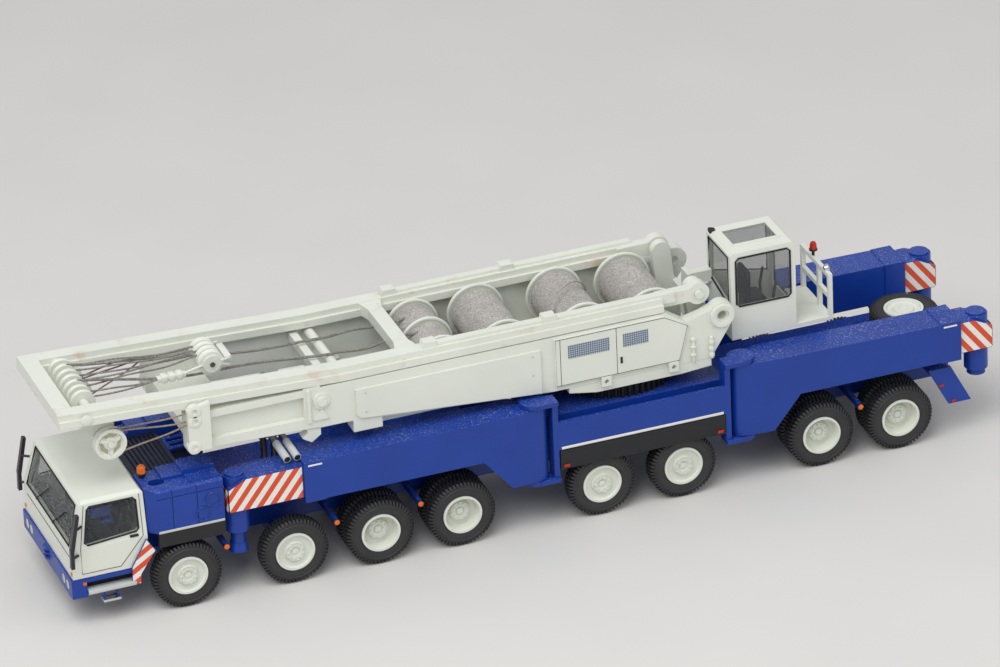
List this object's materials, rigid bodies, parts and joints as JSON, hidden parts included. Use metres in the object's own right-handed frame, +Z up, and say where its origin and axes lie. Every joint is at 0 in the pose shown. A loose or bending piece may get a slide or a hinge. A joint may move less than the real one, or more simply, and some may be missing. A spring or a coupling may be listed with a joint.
{
  "type": "scale model of a mobile lattice-boom crane",
  "caption": "Scale model of a many-axle mobile crane carrier with swing-out outriggers, a slewing winch superstructure, a folding gantry and an operator cab.",
  "frame": {"origin": "on the ground under the middle of the overall length and width", "axes": "+X towards the driver's cab, +Y towards the carrier's left side, +Z up"},
  "size_m": [0.336, 0.062, 0.083],
  "materials": {
    "paint_blue": "gloss",
    "paint_ivory": "satin",
    "black_plastic": "matte",
    "rubber_tyre": "matte",
    "clear_glazing": "clear",
    "lamp_orange": "gloss",
    "bright_plating": "polished",
    "steel": "satin",
    "rope": "twisted twine"
  },
  "bodies": {
    "carrier": {"chassis": "paint_blue", "cab_shell": "paint_ivory", "cab_glazing": "clear_glazing", "cab_interior": "black_plastic", "front_bumper": "paint_blue", "engine_hood": "paint_blue", "radiator_deck": "black_plastic", "side_skirts": "black_plastic", "exhaust_pipes": "bright_plating", "marker_lamps": "lamp_orange", "mirrors": "black_plastic", "slew_ring": "black_plastic", "spare_tyre": "rubber_tyre", "spare_rim": "paint_ivory"},
    "knuckle_1_left": {"knuckle_1_left": "black_plastic"},
    "wheel_1_left": {"tyre_1_left": "rubber_tyre", "rim_1_left": "paint_ivory"},
    "knuckle_1_right": {"knuckle_1_right": "black_plastic"},
    "wheel_1_right": {"tyre_1_right": "rubber_tyre", "rim_1_right": "paint_ivory"},
    "knuckle_2_left": {"knuckle_2_left": "black_plastic"},
    "wheel_2_left": {"tyre_2_left": "rubber_tyre", "rim_2_left": "paint_ivory"},
    "knuckle_2_right": {"knuckle_2_right": "black_plastic"},
    "wheel_2_right": {"tyre_2_right": "rubber_tyre", "rim_2_right": "paint_ivory"},
    "axle_3": {"tyres_3": "rubber_tyre", "wheelset_3": "paint_ivory"},
    "axle_4": {"tyres_4": "rubber_tyre", "wheelset_4": "paint_ivory"},
    "axle_5": {"tyres_5": "rubber_tyre", "wheelset_5": "paint_ivory"},
    "axle_6": {"tyres_6": "rubber_tyre", "wheelset_6": "paint_ivory"},
    "axle_7": {"tyres_7": "rubber_tyre", "wheelset_7": "paint_ivory"},
    "axle_8": {"tyres_8": "rubber_tyre", "wheelset_8": "paint_ivory"},
    "outrigger_front_left": {"arm_front_left": "paint_blue"},
    "beam_front_left": {"beam_front_left": "paint_blue"},
    "jack_front_left": {"jack_front_left": "paint_blue"},
    "outrigger_front_right": {"arm_front_right": "paint_blue"},
    "beam_front_right": {"beam_front_right": "paint_blue"},
    "jack_front_right": {"jack_front_right": "paint_blue"},
    "outrigger_rear_left": {"arm_rear_left": "paint_blue"},
    "beam_rear_left": {"beam_rear_left": "paint_blue"},
    "jack_rear_left": {"jack_rear_left": "paint_blue"},
    "outrigger_rear_right": {"arm_rear_right": "paint_blue"},
    "beam_rear_right": {"beam_rear_right": "paint_blue"},
    "jack_rear_right": {"jack_rear_right": "paint_blue"},
    "superstructure": {"upper_frame": "paint_ivory", "operator_cab": "paint_ivory", "operator_glazing": "clear_glazing"},
    "gantry": {"gantry": "paint_ivory", "gantry_sheaves": "steel"},
    "drum_1": {"drum_1": "rope"},
    "drum_2": {"drum_2": "rope"},
    "drum_3": {"drum_3": "rope"},
    "drum_4": {"drum_4": "rope"}
  },
  "joints": [
    {"name": "steer_1_left", "type": "hinge", "parent": "carrier", "child": "knuckle_1_left", "pos_m": [0.1265, 0.018, 0.012], "axis": [0, 0, 1], "range_deg": [-15, 15]},
    {"name": "roll_1_left", "type": "hinge", "parent": "knuckle_1_left", "child": "wheel_1_left", "pos_m": [0.1265, 0.0258, 0.012], "axis": [0, 1, 0], "continuous": true},
    {"name": "steer_1_right", "type": "hinge", "parent": "carrier", "child": "knuckle_1_right", "pos_m": [0.1265, -0.018, 0.012], "axis": [0, 0, 1], "range_deg": [-15, 15]},
    {"name": "roll_1_right", "type": "hinge", "parent": "knuckle_1_right", "child": "wheel_1_right", "pos_m": [0.1265, -0.0258, 0.012], "axis": [0, 1, 0], "continuous": true},
    {"name": "steer_2_left", "type": "hinge", "parent": "carrier", "child": "knuckle_2_left", "pos_m": [0.0884, 0.018, 0.012], "axis": [0, 0, 1], "range_deg": [-11.25, 11.25]},
    {"name": "roll_2_left", "type": "hinge", "parent": "knuckle_2_left", "child": "wheel_2_left", "pos_m": [0.0884, 0.0258, 0.012], "axis": [0, 1, 0], "continuous": true},
    {"name": "steer_2_right", "type": "hinge", "parent": "carrier", "child": "knuckle_2_right", "pos_m": [0.0884, -0.018, 0.012], "axis": [0, 0, 1], "range_deg": [-11.25, 11.25]},
    {"name": "roll_2_right", "type": "hinge", "parent": "knuckle_2_right", "child": "wheel_2_right", "pos_m": [0.0884, -0.0258, 0.012], "axis": [0, 1, 0], "continuous": true},
    {"name": "roll_3", "type": "hinge", "parent": "carrier", "child": "axle_3", "pos_m": [0.0577, 0, 0.012], "axis": [0, 1, 0], "continuous": true},
    {"name": "roll_4", "type": "hinge", "parent": "carrier", "child": "axle_4", "pos_m": [0.0282, 0, 0.012], "axis": [0, 1, 0], "continuous": true},
    {"name": "roll_5", "type": "hinge", "parent": "carrier", "child": "axle_5", "pos_m": [-0.0227, 0, 0.012], "axis": [0, 1, 0], "continuous": true},
    {"name": "roll_6", "type": "hinge", "parent": "carrier", "child": "axle_6", "pos_m": [-0.0526, 0, 0.012], "axis": [0, 1, 0], "continuous": true},
    {"name": "roll_7", "type": "hinge", "parent": "carrier", "child": "axle_7", "pos_m": [-0.1039, 0, 0.012], "axis": [0, 1, 0], "continuous": true},
    {"name": "roll_8", "type": "hinge", "parent": "carrier", "child": "axle_8", "pos_m": [-0.1335, 0, 0.012], "axis": [0, 1, 0], "continuous": true},
    {"name": "swing_front_left", "type": "hinge", "parent": "carrier", "child": "outrigger_front_left", "pos_m": [0.00035, 0.026, 0.033], "axis": [0, 0, 1], "range_deg": [0, 80]},
    {"name": "extend_front_left", "type": "slide", "parent": "outrigger_front_left", "child": "beam_front_left", "axis": [1, 0, 0], "range_m": [0, 0.03]},
    {"name": "lower_front_left", "type": "slide", "parent": "beam_front_left", "child": "jack_front_left", "axis": [0, 0, -1], "range_m": [0, 0.015]},
    {"name": "swing_front_right", "type": "hinge", "parent": "carrier", "child": "outrigger_front_right", "pos_m": [0.00035, -0.026, 0.033], "axis": [0, 0, -1], "range_deg": [0, 80]},
    {"name": "extend_front_right", "type": "slide", "parent": "outrigger_front_right", "child": "beam_front_right", "axis": [1, 0, 0], "range_m": [0, 0.03]},
    {"name": "lower_front_right", "type": "slide", "parent": "beam_front_right", "child": "jack_front_right", "axis": [0, 0, -1], "range_m": [0, 0.015]},
    {"name": "swing_rear_left", "type": "hinge", "parent": "carrier", "child": "outrigger_rear_left", "pos_m": [-0.07565, 0.026, 0.033], "axis": [0, 0, -1], "range_deg": [0, 80]},
    {"name": "extend_rear_left", "type": "slide", "parent": "outrigger_rear_left", "child": "beam_rear_left", "axis": [-1, 0, 0], "range_m": [0, 0.03]},
    {"name": "lower_rear_left", "type": "slide", "parent": "beam_rear_left", "child": "jack_rear_left", "axis": [0, 0, -1], "range_m": [0, 0.018]},
    {"name": "swing_rear_right", "type": "hinge", "parent": "carrier", "child": "outrigger_rear_right", "pos_m": [-0.07565, -0.026, 0.033], "axis": [0, 0, 1], "range_deg": [0, 80]},
    {"name": "extend_rear_right", "type": "slide", "parent": "outrigger_rear_right", "child": "beam_rear_right", "axis": [-1, 0, 0], "range_m": [0, 0.03]},
    {"name": "lower_rear_right", "type": "slide", "parent": "beam_rear_right", "child": "jack_rear_right", "axis": [0, 0, -1], "range_m": [0, 0.018]},
    {"name": "slew", "type": "hinge", "parent": "carrier", "child": "superstructure", "pos_m": [-0.03765, 0, 0.045], "axis": [0, 0, 1], "continuous": true},
    {"name": "gantry_raise", "type": "hinge", "parent": "superstructure", "child": "gantry", "pos_m": [-0.06315, 0, 0.0727], "axis": [0, -1, 0], "range_deg": [0, 80]},
    {"name": "drum_1_turn", "type": "hinge", "parent": "superstructure", "child": "drum_1", "pos_m": [-0.04845, 0, 0.0646], "axis": [0, 1, 0], "continuous": true},
    {"name": "drum_2_turn", "type": "hinge", "parent": "superstructure", "child": "drum_2", "pos_m": [-0.02345, 0, 0.0646], "axis": [0, 1, 0], "continuous": true},
    {"name": "drum_3_turn", "type": "hinge", "parent": "superstructure", "child": "drum_3", "pos_m": [0.00535, 0, 0.0646], "axis": [0, 1, 0], "continuous": true},
    {"name": "drum_4_turn", "type": "hinge", "parent": "superstructure", "child": "drum_4", "pos_m": [0.02835, 0, 0.0646], "axis": [0, 1, 0], "continuous": true}
  ],
  "couplings": [
    {"joint": "steer_1_right", "follows": "steer_1_left", "ratio": 1},
    {"joint": "steer_2_left", "follows": "steer_1_left", "ratio": 0.75},
    {"joint": "steer_2_right", "follows": "steer_1_left", "ratio": 0.75},
    {"joint": "extend_front_left", "follows": "swing_front_left", "m_per_rad": 0.021486},
    {"joint": "extend_front_right", "follows": "swing_front_right", "m_per_rad": 0.021486}
  ]
}
